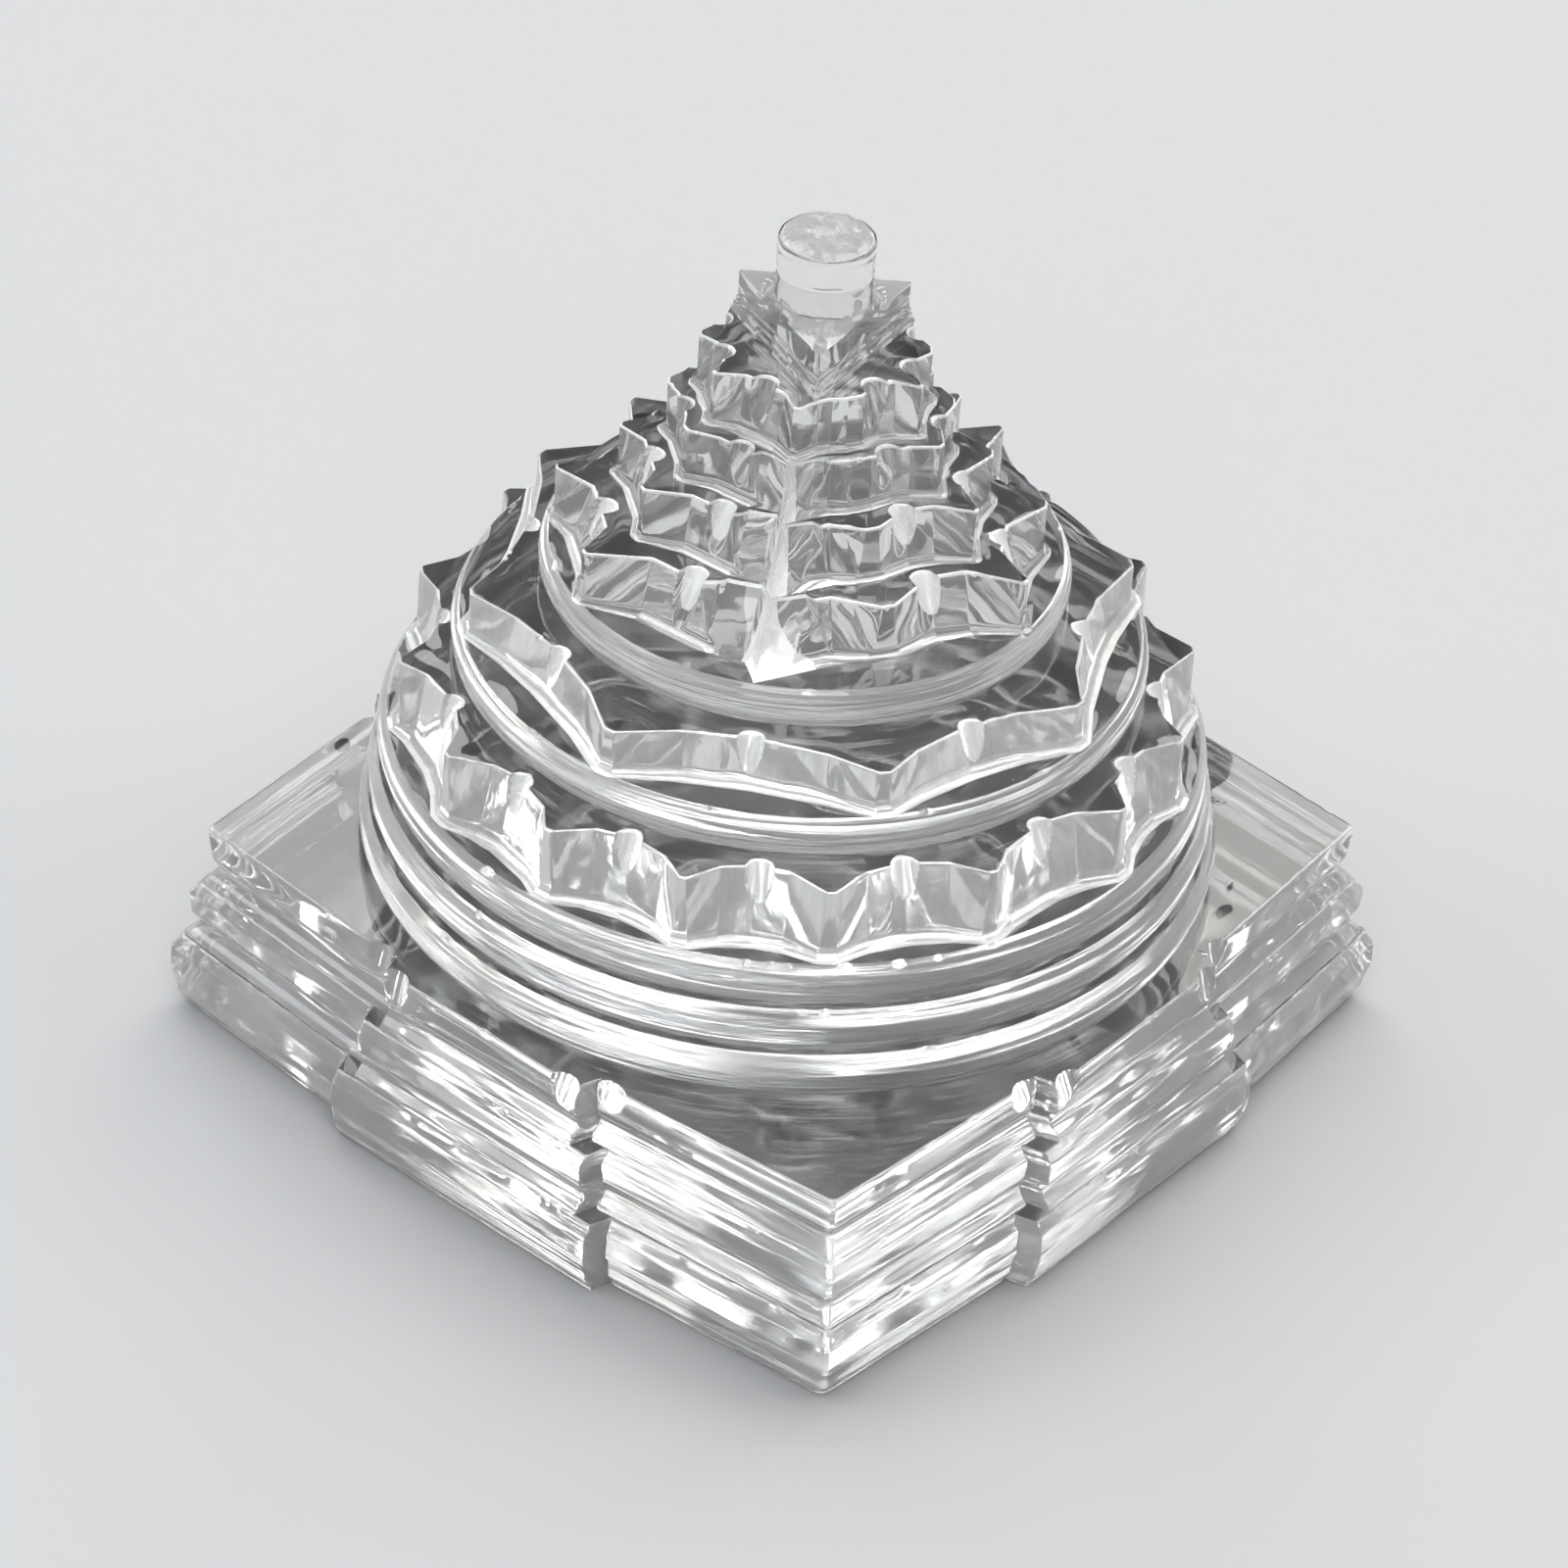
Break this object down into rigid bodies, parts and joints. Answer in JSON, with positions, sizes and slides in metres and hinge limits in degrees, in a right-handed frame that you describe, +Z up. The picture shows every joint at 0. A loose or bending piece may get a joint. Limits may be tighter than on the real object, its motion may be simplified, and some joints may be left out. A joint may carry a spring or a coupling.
{
  "type": "meru shri yantra",
  "caption": "Stepped clear crystal meru shri yantra: gated square base, moulded rings, petal tiers, star tiers, a triangle and a round bindu on top.",
  "frame": {"origin": "centre of the underside, on the surface that the object stands on", "axes": "+Z up along the axis through the bindu, X and Y square to the four sides of the base, with the first star's spur on the side of +X and -Y"},
  "size_m": [0.0492, 0.0492, 0.0468],
  "materials": {
    "crystal": "clear colourless rock crystal, polished on the faces, with faint wheel marks and small frosted spots in the carving"
  },
  "bodies": {
    "root": {"bhupura_lower_course": "crystal", "bhupura_middle_course": "crystal", "bhupura_upper_course": "crystal", "outer_ring": "crystal", "middle_ring": "crystal", "inner_ring": "crystal", "sixteen_petal_lotus": "crystal", "eight_petal_plinth": "crystal", "eight_petal_lotus": "crystal", "star_disc": "crystal", "star_tier_1": "crystal", "star_tier_2": "crystal", "star_tier_3": "crystal", "star_tier_4": "crystal", "trikona": "crystal", "bindu": "crystal"}
  },
  "joints": []
}
